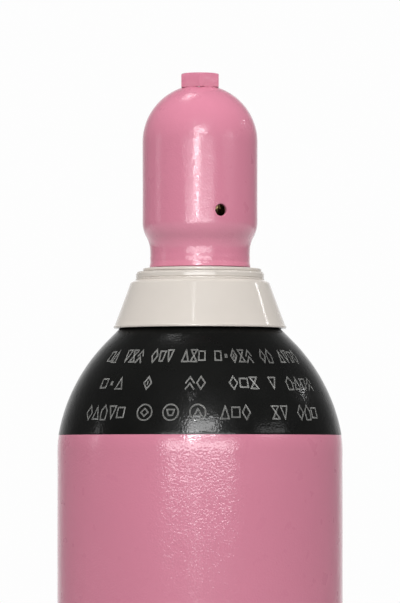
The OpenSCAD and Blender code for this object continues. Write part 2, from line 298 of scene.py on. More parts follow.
def place(piece, rides_on, slot, *nodes):
    """Says which body a piece rides on and hides the CAD nodes it replaces. slot, its material slot, is
    not used.
    """
    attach(piece, rides_on)
    if nodes:
        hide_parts(*nodes)
    return piece


def turn_piece(piece, degrees):
    """Turns a piece round the axis."""
    turn = math.radians(degrees)
    for v in piece.data.vertices:
        x, y, z = v.co
        v.co = (x * math.cos(turn) - y * math.sin(turn), x * math.sin(turn) + y * math.cos(turn), z)
    return piece


def lay_along_x(piece, height):
    """Turns a piece built round the axis so that its top points along +X at that height."""
    for v in piece.data.vertices:
        x, y, z = v.co
        v.co = (z, y, height * MM - x)
    return piece


def helix(pitch, depth, low, high):
    """A rounded right-hand thread between two heights, fading out at both ends."""

    def shape(turn, r, z):
        if not low < z < high:
            return r, z
        fade = min(1, (z - low) / pitch, (high - z) / pitch)
        wave = 0.5 - 0.5 * math.cos(2 * math.pi * (z / pitch - turn / 2 / math.pi))
        return r - depth * fade * min(1, 1.25 * wave), z

    return shape


def thread_outside(thread, limit):
    """Keeps a thread on the points beyond a radius."""
    return lambda turn, r, z: thread(turn, r, z) if r > limit else (r, z)


def unevenness(turn, r, z):
    """The slight waviness of forged and spun steel, under 0.2 mm."""
    spot = Vector((r * math.sin(turn), -r * math.cos(turn), z))
    return r + SLOW_H * noise.noise(spot / SLOW_L) + QUICK_H * noise.noise(spot / QUICK_L), z


def spun(turn, r, z):
    """Unevenness plus the faint rings that spinning the shoulder leaves."""
    r, z = unevenness(turn, r, z)
    return r + 0.025 * math.sin((z - SHOULDER) / 2.1), z


# ---- materials ----


class Surface:
    """A Principled material with short ways to add noise, ramps and bump."""

    def __init__(self, name, colour, roughness, **sockets):
        self.material = bpy.data.materials.new(name)
        self.material.use_nodes = True
        self.tree = self.material.node_tree
        self.shader = self.tree.nodes["Principled BSDF"]
        self.shader.inputs["Base Color"].default_value = (*colour, 1)
        self.shader.inputs["Roughness"].default_value = roughness
        for key, value in sockets.items():
            self.shader.inputs[key.replace("_", " ")].default_value = value
        self.place = self.tree.nodes.new("ShaderNodeTexCoord").outputs["Object"]

    def link(self, output, target):
        self.tree.links.new(output, target)

    def noise(self, size, detail=2.0, stretch=(1, 1, 1), roughness=0.5):
        """Noise whose features are about size millimetres wide."""
        scale = self.tree.nodes.new("ShaderNodeMapping")
        scale.inputs["Scale"].default_value = [s / (size * MM) for s in stretch]
        self.link(self.place, scale.inputs["Vector"])
        node = self.tree.nodes.new("ShaderNodeTexNoise")
        node.inputs["Scale"].default_value = 1.0
        node.inputs["Detail"].default_value = detail
        node.inputs["Roughness"].default_value = roughness
        self.link(scale.outputs["Vector"], node.inputs["Vector"])
        return node.outputs["Fac"]

    def ramp(self, value, stops):
        """Maps a value through (position, colour or number) stops."""
        node = self.tree.nodes.new("ShaderNodeValToRGB")
        elements = node.color_ramp.elements
        while len(elements) < len(stops):
            elements.new(0.5)
        for element, (position, colour) in zip(elements, stops):
            element.position = position
            colour = (colour,) * 3 if isinstance(colour, (int, float)) else colour
            element.color = (*colour, 1)
        self.link(value, node.inputs["Fac"])
        return node.outputs["Color"]

    def mix(self, factor, a, b):
        """Colour a where factor is 0 and b where it is 1. Each is an output or a colour."""
        node = self.tree.nodes.new("ShaderNodeMix")
        node.data_type = "RGBA"
        self.link(factor, node.inputs["Factor"])
        for socket, value in ((node.inputs[6], a), (node.inputs[7], b)):
            if isinstance(value, tuple):
                socket.default_value = (*value, 1)
            else:
                self.link(value, socket)
        return node.outputs[2]

    def bump(self, *layers, coat=False):
        """Stacks (height output, distance in millimetres) layers into the normal."""
        normal = None
        for height, distance in layers:
            node = self.tree.nodes.new("ShaderNodeBump")
            node.inputs["Distance"].default_value = distance * MM
            self.link(height, node.inputs["Height"])
            if normal:
                self.link(normal, node.inputs["Normal"])
            normal = node.outputs["Normal"]
        self.link(normal, self.shader.inputs["Normal"])
        if coat:
            self.link(normal, self.shader.inputs["Coat Normal"])

    def colour(self, output):
        self.link(output, self.shader.inputs["Base Color"])

    def rough(self, output):
        self.link(output, self.shader.inputs["Roughness"])


def tint(colour, factor):
    """The colour made darker or lighter."""
    return tuple(c * factor for c in colour)


def paint(name, colour, peel=0.19, grain=1.9, coat=0.9, mottle=0.015, roughness=0.3):
    """Gloss paint over steel: orange peel, faint clouds, small faint specks."""
    s = Surface(
        name, colour, roughness, Coat_Weight=coat, Coat_Roughness=0.05, Specular_IOR_Level=0.15
    )
    shades = [(0.3, tint(colour, 1 - mottle)), (0.7, tint(colour, 1 + mottle))]
    clouds = s.ramp(s.noise(70, 4), shades)
    specks = s.ramp(s.noise(2.5, 1), [(0.74, 0.0), (0.8, 0.04)])
    s.colour(s.mix(specks, clouds, tint(colour, 0.8)))
    s.rough(s.ramp(s.noise(18, 5), [(0.35, roughness * 0.9), (0.65, roughness * 1.1)]))
    s.bump((s.noise(9, 2), peel), (s.noise(grain, 1.5), peel), coat=True)
    return s.material


def moulded_plastic(name, colour, roughness, grain=0.01, grain_size=0.8):
    """Moulded plastic: faint flow clouds, handling marks and fine grain."""
    s = Surface(name, colour, roughness, Specular_IOR_Level=0.5)
    clouds = s.ramp(s.noise(40, 3), [(0.3, tint(colour, 0.98)), (0.7, tint(colour, 1.02))])
    grime = s.ramp(s.noise(7, 6, roughness=0.7), [(0.62, 0.0), (0.8, 0.07)])
    s.colour(s.mix(grime, clouds, tint(colour, 0.86)))
    s.rough(s.ramp(s.noise(12, 4), [(0.3, roughness * 0.8), (0.7, roughness * 1.3)]))
    s.bump((s.noise(30, 2), 0.12), (s.noise(grain_size, 3), grain))
    return s.material


def turned_metal(name, colour, roughness, dull=0.7):
    """Machined metal: fine rings from the lathe, dulled patches."""
    s = Surface(name, colour, roughness, Metallic=1.0)
    rings = s.noise(0.5, 2, stretch=(0.03, 0.03, 1))
    patches = s.noise(9, 5, roughness=0.65)
    s.colour(s.ramp(patches, [(0.35, tint(colour, dull)), (0.62, colour)]))
    cut = s.ramp(rings, [(0.3, roughness * 0.8), (0.7, roughness * 1.2)])
    s.rough(s.mix(patches, cut, (0.5,) * 3))
    s.bump((rings, 0.012), (patches, 0.01))
    return s.material


def forged_brass(name, colour):
    """Hot-forged brass: a matt, slightly pitted skin with darker oxide in it."""
    s = Surface(name, colour, 0.42, Metallic=1.0)
    oxide = s.noise(14, 6, roughness=0.7)
    pits = s.noise(0.9, 4)
    s.colour(s.ramp(oxide, [(0.3, tint(colour, 0.55)), (0.5, tint(colour, 0.85)), (0.7, colour)]))
    s.rough(s.ramp(oxide, [(0.3, 0.55), (0.7, 0.34)]))
    s.bump((pits, 0.05), (oxide, 0.03))
    return s.material


def plain_floor(name, colour):
    """A matt floor that glows a little, so that it stays pale up to the horizon."""
    s = Surface(
        name, colour, 0.75, Emission_Color=(1, 1, 1, 1), Specular_IOR_Level=0.0, Emission_Strength=0.6
    )
    s.colour(s.ramp(s.noise(400, 3), [(0.3, tint(colour, 0.985)), (0.7, colour)]))
    s.bump((s.noise(12, 3), 0.05))
    return s.material


PINK_COLOUR = (0.70, 0.243, 0.345)
PINK = paint("pink_gloss_paint", PINK_COLOUR)
CAP_PINK = paint("pink_cap_paint", PINK_COLOUR, grain=1.6)
BLACK = paint("black_gloss_paint", (0.006, 0.0062, 0.0058), peel=0.15, coat=0.42, mottle=0.25)
# Light grey paint on the stamps' lips: a painted highlight for the bright edges of the stamped strokes
STAMP_LIP_HIGHLIGHT = paint("stamp_lip_painted_highlight", (0.48, 0.48, 0.46), peel=0.06, mottle=0.45, roughness=0.4)
IVORY = moulded_plastic("ivory_plastic", (0.68, 0.627, 0.573), 0.13)
STEEL = turned_metal("zinc_plated_steel", (0.56, 0.56, 0.57), 0.34)
BRASS = turned_metal("turned_brass", (0.80, 0.57, 0.28), 0.26)
# Dark brown brass for the outlet nose: painted shade, for the unlit inside of the cap seen through the
# vent holes
SHADE_DARK_BRASS = turned_metal("brass_darkened_as_painted_shade", (0.36, 0.235, 0.11), 0.42, dull=0.5)
FORGED = forged_brass("forged_brass", (0.72, 0.50, 0.25))
NYLON = moulded_plastic("nylon", (0.78, 0.75, 0.66), 0.45)
RUBBER = moulded_plastic("nitrile_rubber", (0.015, 0.015, 0.015), 0.6, grain=0.02)
WHEEL = moulded_plastic("wheel_plastic", (0.016, 0.016, 0.018), 0.42, grain=0.05, grain_size=0.6)


# ---- shell: pink body, black shoulder, bare neck ----


def shoulder_r(z):
    """Radius of the painted shoulder at a height."""
    if z <= SHOULDER:
        return SHELL_R
    if z <= SHOULDER + ARC1_R * math.sin(math.radians(BLEND)):
        return ARC1_X + math.sqrt(ARC1_R**2 - (z - SHOULDER) ** 2)
    if z <= CONE_Z:
        return ARC2_X + math.sqrt(ARC2_R**2 - (z - ARC2_Z) ** 2)
    return CONE_X + CONE_Z - z


def cavity_at_border():
    """Radius of the cavity where the pink body and the black shoulder meet."""
    return ARC1_X + math.sqrt((ARC1_R - WALL) ** 2 - (BORDER - SHOULDER) ** 2)


def only_outside(change):
    """Keeps a shape change off the cavity and the base."""

    def shape(turn, r, z):
        return change(turn, r, z) if z > 3 and r > shoulder_r(z) - 2 else (r, z)

    return shape


def body():
    """The pink part of the shell, from the hollow base up to the border of the paints."""
    inner = SHELL_R - WALL
    hollow = math.degrees(math.acos(HOLLOW_R / BASE_R))
    outline = arc(0, BASE_Z, BASE_R, 90, hollow, 16)
    outline += arc(SHELL_R - FOOT_R, FOOT_R, FOOT_R, -90, 0, 10)
    outline += fine([(SHELL_R, FOOT_R + 8), (SHELL_R, SHOULDER)], 9)
    outline += [(shoulder_r(SHOULDER + h), SHOULDER + h) for h in (3, 6, 9, 12, 14.4)]
    outline += [(shoulder_r(BORDER) - 0.05, BORDER - 0.1), (shoulder_r(BORDER) - 0.4, BORDER)]
    outline += [(cavity_at_border(), BORDER), (inner, SHOULDER)]
    outline += arc(inner - CORNER_R, FLOOR_Z + CORNER_R, CORNER_R, 0, -90, 6)
    crown_r = BASE_R + BASE_WALL
    floor_r = math.sqrt(crown_r**2 - (FLOOR_Z - BASE_Z) ** 2)
    crease = math.degrees(math.acos(floor_r / crown_r))
    outline += arc(0, BASE_Z, crown_r, crease, 90, 10)
    piece = lathe("body_painted", outline, PINK, 256, only_outside(unevenness))
    return place(piece, "cylinder", "pink_paint", "cylinder_shell")


def shoulder():
    """The black part of the shell, whose paint makes a small step over the pink."""
    edge = shoulder_r(BORDER) + PAINT_EDGE
    step = 2.2
    outline = [(cavity_at_border(), BORDER), (edge - 0.5, BORDER), (edge - 0.1, BORDER + 0.05)]
    heights = [BORDER + 0.5 + i * step for i in range(int((CONE_END - BORDER) / step))]
    outline += [(shoulder_r(z) + PAINT_EDGE, z) for z in heights]
    outline += [(shoulder_r(CONE_END), CONE_END), CAVITY_END]
    outline += arc(ARC2_X, ARC2_Z, ARC2_R - WALL, 45, BLEND, 10)
    outline += arc(ARC1_X, SHOULDER, ARC1_R - WALL, BLEND, 10, 1)
    piece = lathe("shoulder_painted", outline, BLACK, 256, only_outside(spun))
    return place(piece, "cylinder", "black_paint", "cylinder_shell")


def neck():
    """The bare steel neck with its tapered bore."""
    fillet_z = CONE_Z + CONE_X - NECK_R - FILLET_R + FILLET_R * math.sqrt(2)
    outline = [CAVITY_END, (shoulder_r(CONE_END), CONE_END)]
    outline += arc(NECK_R + FILLET_R, fillet_z, FILLET_R, 225, 180, 6)
    outline += [(NECK_R, NECK_TOP - 1.5), (NECK_R - 1.5, NECK_TOP), (BORE_TOP_R, NECK_TOP)]
    outline += [(BORE_TOP_R - 28 * TAPER, NECK_TOP - 28), (THROAT_R, NECK_TOP - 46)]
    piece = lathe("neck_bare", outline, STEEL, 128)
    return place(piece, "cylinder", "ring_steel", "cylinder_shell")


# ---- stamped marks: abstract signs, each stroke a groove between two raised lips ----

SIGNS = {
    "a": [[(0, 0.15), (1, 0.15), (1, 0.85), (0, 0.85), (0, 0.15)]],
    "b": [[(0.5, 0), (1, 0.5), (0.5, 1), (0, 0.5), (0.5, 0)]],
    "c": [[(0, 0.05), (1, 0.05), (0.5, 0.95), (0, 0.05)]],
    "d": [[(0.5, 0.05), (1, 0.95), (0, 0.95), (0.5, 0.05)]],
    "e": [[(0.1, 0), (0.9, 0), (1, 0.6), (0.5, 1), (0, 0.6), (0.1, 0)]],
    "f": [[(0.25, 0.1), (0.75, 0.1), (1, 0.85), (0, 0.85), (0.25, 0.1)]],
    "g": [[(0.5, 0), (1, 0.5), (0.5, 1), (0, 0.5), (0.5, 0)], [(0.5, 0.4), (0.5, 0.6)]],
    "h": [[(0, 0.05), (1, 0.05), (0, 0.95), (1, 0.95), (0, 0.05)]],
    "j": [[(0, 0), (0.5, 0.45), (1, 0)], [(0, 0.5), (0.5, 0.95), (1, 0.5)]],
    ".": [[(0.4, 0.4), (0.6, 0.4), (0.6, 0.6), (0.4, 0.6), (0.4, 0.4)]],
}
# Each row: height over the border, sign height, pitch, left end (arc from the front), slant, signs.
# A sign is as wide as SIGN_WIDTH of the pitch.
ROWS = [
    (72, 12, 7.4, -97.5, 0.12, "ac dhj bfd cha a.ghj be cdfb"),
    (47, 11.5, 10, -103, 0.05, "a.c  g   jb  bah d ecfj"),
    (20, 13, 10, -121, 0.08, "bceda         cab  hd bea"),
]
SIGN_WIDTH = 0.74
ROUND_SIGNS = [(-52, "b"), (-27, "f"), (-2, "c")]
ROUND_R = 7.2
ROUND_SIGN_SIZE = 7
# Across a stroke: distance from its middle and height over the paint
SUNK = -0.08
LIPS = [
    (-0.62, SUNK), (-0.50, 0.12), (-0.28, 0.14), (0.0, -0.02), (0.28, 0.14), (0.50, 0.12), (0.62, SUNK)
]
# The faces between these points, the lips' crests, are painted light grey as a painted highlight
CRESTS = (1, 4)


def on_shoulder(along, up, row_z, over):
    """The point on the shoulder at an arc distance from the front and a height."""
    row_r = shoulder_r(row_z)
    z = row_z + up
    turn = along / row_r
    r, _ = spun(turn, shoulder_r(z) + PAINT_EDGE, z)
    lean = math.atan2(shoulder_r(z - 0.5) - shoulder_r(z + 0.5), 1)
    r, z = r + over * math.cos(lean), z + over * math.sin(lean)
    return (r * math.sin(turn) * MM, -r * math.cos(turn) * MM, z * MM)


def stroke(points, row_z, verts, faces, shades):
    """Adds one stroke that follows points, which may close on themselves. It is a closed solid."""
    closed = (Vector(points[0]) - Vector(points[-1])).length < TINY
    line = [Vector(p) for p in fine(points, 1.6)]
    if closed:
        line = line[:-1]
    else:
        ends = [(line[0] - line[1]).normalized() * 0.9, (line[-1] - line[-2]).normalized() * 0.9]
        line = [line[0] + ends[0]] + line + [line[-1] + ends[1]]
    count, width, first = len(line), len(LIPS), len(verts)
    for i, p in enumerate(line):
        before = line[i - 1] if closed or i else p * 2 - line[1]
        after = line[(i + 1) % count] if closed or i < count - 1 else p * 2 - line[i - 1]
        a, b = (p - before).normalized(), (after - p).normalized()
        side = Vector((-(a + b).y, (a + b).x))
        side = side.normalized() if side.length > TINY else Vector((-a.y, a.x))
        stretch = min(1.8, 1 / max(0.3, side.dot(Vector((-a.y, a.x)))))
        tip = not closed and i in (0, count - 1)
        for across, over in LIPS:
            q = p + side * across * stretch * (0.55 if tip else 1)
            verts.append(on_shoulder(q.x, q.y, row_z, SUNK if tip else over))
    for i in range(count if closed else count - 1):
        here, there = first + i * width, first + (i + 1) % count * width
        for j in range(width):
            k = (j + 1) % width
            faces.append((here + j, there + j, there + k, here + k))
            shades.append(1 if j in CRESTS else 0)
    if not closed:
        last = len(verts) - 1
        faces += [tuple(range(first, first + width)), tuple(range(last, last - width, -1))]
        shades += [0, 0]


def stamps():
    """All signs, in rows and in round stamps, as one piece."""
    verts, faces, shades = [], [], []
    for height, size, pitch, left, slant, signs in ROWS:
        row_z = BORDER + height
        for i, sign in enumerate(signs):
            for line in SIGNS.get(sign, []):
                spot = [
                    (left + pitch * i + pitch * SIGN_WIDTH * (x + slant * y), size * (y - 0.5))
                    for x, y in line
                ]
                stroke(spot, row_z, verts, faces, shades)
    row_z = BORDER + ROWS[-1][0]
    for along, sign in ROUND_SIGNS:
        circle = [
            (along + ROUND_R * math.sin(math.radians(a)), ROUND_R * math.cos(math.radians(a)))
            for a in range(0, 361, 12)
        ]
        circle[-1] = circle[0]
        stroke(circle, row_z, verts, faces, shades)
        for line in SIGNS[sign]:
            inner = [
                (along + ROUND_SIGN_SIZE * (x - 0.5), ROUND_SIGN_SIZE * (y - 0.5)) for x, y in line
            ]
            stroke(inner, row_z, verts, faces, shades)
    # Faces in CRESTS take the light grey painted highlight
    piece = add_piece("stamped_signs", verts, faces, BLACK, STAMP_LIP_HIGHLIGHT, shades=shades)
    return place(piece, "cylinder", "black_paint")


# ---- neck ring ----


def neck_ring():
    """A foot flange, a land that the collar turns on and the thread for the cap."""
    land_top = NECK_TOP - 31.5
    root_r = THREAD_R - THREAD_DEPTH
    outline = rounded(
        [(38.5, RING_LOW, 0.3), (46, RING_LOW, 0.5), (46, RING_LOW + 3, 0.5), (43, RING_LOW + 3, 0.2),
         (43, land_top, 0.6), (root_r, land_top, 0.3), (root_r, land_top + 1.8, 0.3)]
    )
    outline += fine([(THREAD_R, land_top + 3), (THREAD_R, RING_TOP - 1.6)], 0.26)
    outline += [(THREAD_R - 1.6, RING_TOP), (NECK_R, RING_TOP), (NECK_R, RING_LOW + 8)]
    thread = helix(THREAD_PITCH, THREAD_DEPTH, land_top + 2.5, RING_TOP - 1)
    piece = lathe("neck_ring_threaded", outline, STEEL, 160, thread_outside(thread, THREAD_R - 1.5))
    return place(piece, "cylinder", "ring_steel", "neck_ring")


# ---- collar ----

COLLAR_BORE_R = 43.4
RIBS = 8
RING_OFFSET = 2


def skirt():
    """A conical shell, open below, with a flat web round the neck."""
    top = SKIRT_LOW + 42.8
    outline = rounded(
        [(77.0, SKIRT_LOW, 0.8), (81.0, SKIRT_LOW, 0.9), (80.9, SKIRT_LOW + 2.2, 0.7),
         (80.0, SKIRT_LOW + 2.6, 0.5), (65.1, top, 2.6), (61.2, top + 2.0, 0.6), (60.8, top + 2.2, 0.1),
         (COLLAR_BORE_R, top + 2.2, 0.4), (COLLAR_BORE_R, top - 1.6, 0.4), (63, top - 1.6, 3)], 6
    )
    dense = []
    for a, b in zip(outline, outline[1:] + outline[:1]):
        dense += fine([a, b], 3.0)[:-1]
    piece = lathe("collar_skirt_moulded", dense, IVORY, 200, moulded_sink)
    return place(piece, "collar", "collar_plastic", "collar_skirt")


def moulded_sink(turn, r, z):
    """Slow bulges of a moulded shell, and shallow sinks over its inside ribs."""
    spot = Vector((r * math.sin(turn), -r * math.cos(turn), z))
    rib = max(0, math.cos(RIBS * turn) - 0.9) * 10
    outside = 1 if r > 62 else 0
    return r + outside * (0.18 * noise.noise(spot / 38) - 0.05 * rib), z


def lock_ring():
    """The ring that snaps onto the skirt, with a lip, a groove and a rounded band."""
    z = LOCK_LOW
    outline = rounded(
        [(COLLAR_BORE_R, z, 0.3), (60.3, z, 0.5), (60.4, z + 1.7, 0.5), (59.2, z + 2, 0.2),
         (60, z + 2.5, 0.8), (60.1, z + 6.3, 1.0), (59.1, z + 6.7, 0.2), (59, z + 8, 0.5),
         (COLLAR_BORE_R, z + 8, 0.4)], 6
    )
    piece = lathe("collar_lock_ring_moulded", outline, IVORY, 200, ring_wave)
    return place(piece, "collar", "collar_plastic", "collar_lock_ring")


def ring_wave(turn, r, z):
    """The slight wave of a thin moulded ring."""
    return r + 0.08 * noise.noise(Vector((3 * math.sin(turn), 3 * math.cos(turn), z / 9))), z


def top_ring():
    """The loose ring lies off centre and tips down a little on that side."""
    low, high = TOP_RING_LOW, TOP_RING_LOW + 3.1
    outline = rounded(
        [(46, low, 0.3), (55.4, low, 0.9), (55.6, high - 0.4, 1.2), (52, high, 0.8), (46, high, 0.3)], 6
    )

    def loose(turn, r, z):
        return r + 0.1 * noise.noise(Vector((2 * math.sin(turn), 2 * math.cos(turn), 0))), z

    piece = lathe("collar_top_ring_moulded", outline, IVORY, 180, loose)
    for v in piece.data.vertices:
        v.co.x += RING_OFFSET * MM
        v.co.z -= 0.004 * v.co.x
    return place(piece, "top_ring", "collar_plastic", "collar_top_ring")


# ---- cap ----


def cap_wall(inset):
    """The cap's silhouette from its waist to the axis, grown inwards by inset."""
    points = arc(CAP_NECK_R + WAIST_R, WAIST_LOW, WAIST_R + inset, 180, 180 - WAIST_ANGLE, 10)
    points += arc(CAP_R - WAIST_R, WAIST_HIGH, WAIST_R - inset, -WAIST_ANGLE, 0, 10)[1:]
    points += fine([(CAP_R - inset, WAIST_HIGH + 2), (CAP_R - inset, DOME_Z - 2)], 2.5)
    return points + arc(0, DOME_Z, CAP_R - inset, 0, 90, 30)


def cap():
    """The hollow cap: threaded neck, waist, round top and two vent holes."""
    step_z = (WAIST_LOW + WAIST_HIGH) / 2
    bore_r = THREAD_R + 0.3
    outline = [(CAP_NECK_R + 0.1, CAP_LOW), (CAP_NECK_R + 0.5, CAP_LOW + 0.4)]
    outline += fine([(CAP_NECK_R + 0.45, CAP_LOW + 1.6), (CAP_NECK_R, CAP_LOW + 4.5)], 0.8)
    outline += fine([(CAP_NECK_R, CAP_LOW + 6), (CAP_NECK_R, WAIST_LOW - 1)], 1.5) + cap_wall(0)
    inside = [(r, z) for r, z in cap_wall(CAP_WALL) if z > step_z + 1]
    outline += inside[::-1] + [(inside[0][0], step_z), (bore_r, step_z)]
    outline += fine([(bore_r, step_z - 1), (bore_r, CAP_LOW + 2.5)], 0.4)
    outline += [(THREAD_R + 2.2, CAP_LOW)]
    thread = helix(THREAD_PITCH, -THREAD_DEPTH, CAP_LOW + 2, step_z - 0.5)

    def shape(turn, r, z):
        """The thread inside; outside, unevenness and a few turned rings near the foot."""
        if r < THREAD_R + 1:
            return thread(turn, r, z)
        r, z = unevenness(turn, r, z)
        height = z - CAP_LOW
        rings = math.exp(-(((height - 8) / 7) ** 2)) if r > CAP_NECK_R - 1 else 0
        return r + 0.10 * rings * math.sin(height * 0.9), z

    piece = lathe("cap_painted", outline, CAP_PINK, 224, shape)
    # One drill with a countersink at each end makes both vent holes
    bore = [(0, -CAP_R - 3), (VENT_R + 1.9, -CAP_R - 3), (VENT_R + 1.1, -CAP_R - 0.1)]
    bore += [(VENT_R + 0.35, -CAP_R + 0.35), (VENT_R, -CAP_R + 1.0)]
    bore += [(r, -z) for r, z in reversed(bore)]
    drill = lathe("drill", bore, None, 48)
    turn = math.radians(VENT_TURN)
    for v in drill.data.vertices:
        x, y, z = v.co
        v.co = (
            x * math.cos(turn) - z * math.sin(turn),
            x * math.sin(turn) + z * math.cos(turn),
            (CAP_LOW + VENT_Z) * MM - y,
        )
    combine(piece, [drill], "DIFFERENCE")
    return place(piece, "cap", "pink_paint", "cap_shell")


def hex_boss():
    """The hexagon on the crown, hollowed below to sit on the dome."""
    piece = hexagon("cap_hexagon_painted", 35, HEX_LOW, HEX_TOP, PINK, under=False)
    combine(piece, [lathe("dome", arc(0, DOME_Z, CAP_R - 0.3, -90, 90, 60), None, 128)], "DIFFERENCE")
    soften(piece, 0.9)
    return place(piece, "cap", "pink_paint", "cap_hex_boss")


def hex_weld():
    """The painted bead where the hexagon is welded to the crown."""
    seat = math.sqrt(CAP_R**2 - (HEX_LOW - DOME_Z) ** 2)
    outline = arc(seat - 0.2, HEX_LOW - 0.2, 0.9, 0, 330, 11)

    def bead(turn, r, z):
        lump = 0.22 * noise.noise(Vector((9 * math.sin(turn), 9 * math.cos(turn), 0)))
        return r + lump, z + lump

    piece = lathe("hexagon_weld_bead", outline, PINK, 160, bead)
    return place(piece, "cap", "pink_paint")


# ---- valve ----


def valve_body():
    """A forged body on a tapered stem, with wrench flats and the outlet's boss towards +X."""
    z = NECK_TOP
    outline = rounded(
        [(3, z - 24, 0), (12.9, z - 24, 0.3), (14.34, z, 0), (14.34, z + 2, 0.2), (17, z + 2, 0.5),
         (17, z + 5, 0.5), (13.5, z + 6, 0.6), (13.5, z + 21, 0.6), (15, z + 23, 1), (15, z + 57, 0.8),
         (11.2, z + 58, 0.3), (11.2, z + 24, 0), (3, z + 24, 0)]
    )
    piece = lathe("valve_body_forged", outline, FORGED, 96)
    square = prism("square", 30, z + 5, z + 22, FORGED, 4)
    turn_piece(square, 45)
    trim = rod("trim", 19, z + 4, z + 23, None, 96)
    soften(combine(square, [trim], "INTERSECT"), 0.9)
    boss_outline = rounded([(0, 2, 0), (14.4, 2, 0), (13.2, 18, 1.6), (0, 18, 0)], 6)
    boss = lay_along_x(lathe("boss", boss_outline, FORGED, 96), OUTLET_Z)
    combine(piece, [square, boss], "UNION")
    core = rod("core", 11.1, z + 24.6, z + 60, None, 96)
    flow = lay_along_x(rod("flow", 3, 1, 40, None, 48), OUTLET_Z)
    combine(piece, [core, flow], "DIFFERENCE")
    return place(piece, "cylinder", "valve_brass", "valve_body")


def outlet_nose():
    """The outlet's thread, with a relief groove behind it and the nipple's seat in its face."""
    outline = rounded([(3, 17, 0), (11.2, 17, 0), (11.2, 19.6, 0.4)])
    outline += fine([(OUTLET_R, 20.2), (OUTLET_R, 32.8)], 0.2)
    outline += rounded([(11.1, 34, 0.2), (7.0, 34, 0.2), (6.5, 31, 0.3), (3, 31, 0.2)])
    thread = helix(OUTLET_PITCH, 1.05, 19.8, 33.6)
    # The nose's brass is darkened as painted shade, since no light reaches it inside the cap
    piece = lathe("outlet_nose_threaded", outline, SHADE_DARK_BRASS, 128, thread_outside(thread, 12))
    return place(lay_along_x(piece, OUTLET_Z), "cylinder", "valve_brass")


def gland_nut():
    """A hexagon with a small collar above and a shank down into the body."""
    low, high = NECK_TOP + 59.2, NECK_TOP + 69.2
    piece = hexagon("gland_nut_turned", 27, low, high, BRASS)
    collar_outline = rounded(
        [(0, high - 0.5, 0), (9, high - 0.5, 0), (8.6, high + 1.2, 0.4), (0, high + 1.2, 0)]
    )
    collar = lathe("collar", collar_outline, BRASS, 64)
    shank = rod("shank", 11, NECK_TOP + 49.4, low + 0.5, BRASS, 96)
    combine(piece, [collar, shank], "UNION")
    combine(piece, [rod("bore", 5.05, low - 12, high + 3, None)], "DIFFERENCE")
    return place(piece, "cylinder", "valve_brass", "gland_nut")


def spindle():
    """A stem with a flange, a square at each end and a threaded stud on top."""
    z = NECK_TOP
    outline = rounded(
        [(0, z + 35.5, 0), (3.5, z + 35.5, 0.3), (3.5, z + 45.2, 0), (8.6, z + 45.2, 0.3),
         (8.6, z + 48.2, 0.3), (5, z + 48.2, 0.2), (5, z + 73, 0.5), (3.2, z + 73.5, 0.2),
         (3.2, z + 80, 0.2), (3, z + 80.5, 0)]
    )
    outline += fine([(3, z + 81), (3, z + 92.8)], 0.13) + [(2.3, z + 93.5), (0, z + 93.5)]
    thread = helix(1.0, 0.6, z + 80.6, z + 93.2)

    def stud(turn, r, height):
        return thread(turn, r, height) if height > z + 80.6 and r > 2.9 else (r, height)

    piece = lathe("spindle_turned", outline, BRASS, 64, stud)
    squares = [
        prism("tongue", 7, z + 35.5, z + 45.5, BRASS, 4),
        prism("square", 6.5, z + 72, z + 80, BRASS, 4),
    ]
    combine(piece, [turn_piece(square, 45) for square in squares], "UNION")
    return place(piece, "spindle", "valve_brass", "upper_spindle")


# ---- handwheel ----

NOTCHES = 6
GRIP_RIBS = 72
WINDOW_R = 3.6
WINDOW_PLACE = 15.3
SPRING_TURNS = 4
SPRING_R = 4.8
WIRE_R = 0.68


def handwheel():
    """A moulded wheel: hub with a pocket for the spring, web with windows, notched rim."""
    z = NECK_TOP
    outline = rounded(
        [(3.3, z + 71, 0), (9, z + 71, 0.8), (9.6, z + 75, 1.5), (20, z + 75, 1.0),
         (22, z + 72.4, 1.5), (26, z + 70.6, 3), (30.4, z + 72.6, 2.5), (31, z + 77, 3),
         (30.4, z + 81.4, 2.5), (26, z + 83.4, 3), (22, z + 81.6, 1.5), (20, z + 79, 1.0),
         (10.5, z + 79.5, 2.0), (9, z + 86, 0.8), (6.5, z + 86, 0.4), (6.5, z + 80, 0),
         (3.3, z + 80, 0)], 6
    )

    def grip(turn, r, height):
        """Finger notches and fine ribs, growing from the web to the rim."""
        dip = (0.5 + 0.5 * math.cos(NOTCHES * turn)) ** 2 * min(1, max(0, (r - 20) / 9))
        ribs = max(0, math.cos(GRIP_RIBS * turn)) ** 2 * min(1, max(0, (r - 27.5) / 3))
        return r - 4.6 * dip + 0.25 * ribs - 0.25, height

    piece = lathe("handwheel_moulded", outline, WHEEL, 432, grip)
    windows = []
    for i in range(NOTCHES):
        turn = 2 * math.pi * (i + 0.5) / NOTCHES
        window = rod("window", WINDOW_R, z + 70, z + 84, None, 40)
        for v in window.data.vertices:
            v.co.x += WINDOW_PLACE * math.sin(turn) * MM
            v.co.y -= WINDOW_PLACE * math.cos(turn) * MM
        windows.append(window)
    combine(piece, windows, "DIFFERENCE")
    return place(piece, "spindle", "wheel_plastic", "handwheel")


def wheel_fasteners():
    """The washer and the nut that hold the handwheel down."""
    z = NECK_TOP
    outline = rounded(
        [(3.1, z + 86, 0.1), (8.5, z + 86, 0.4), (8.5, z + 86.9, 0.4), (3.1, z + 87, 0.1)]
    )
    washer = lathe("handwheel_washer_pressed", outline, STEEL, 96)
    place(washer, "spindle", "ring_steel", "handwheel_washer")
    nut = hexagon("handwheel_nut_plated", 10, z + 87, z + 92, STEEL, bore=2.95)
    place(nut, "spindle", "ring_steel", "handwheel_nut")


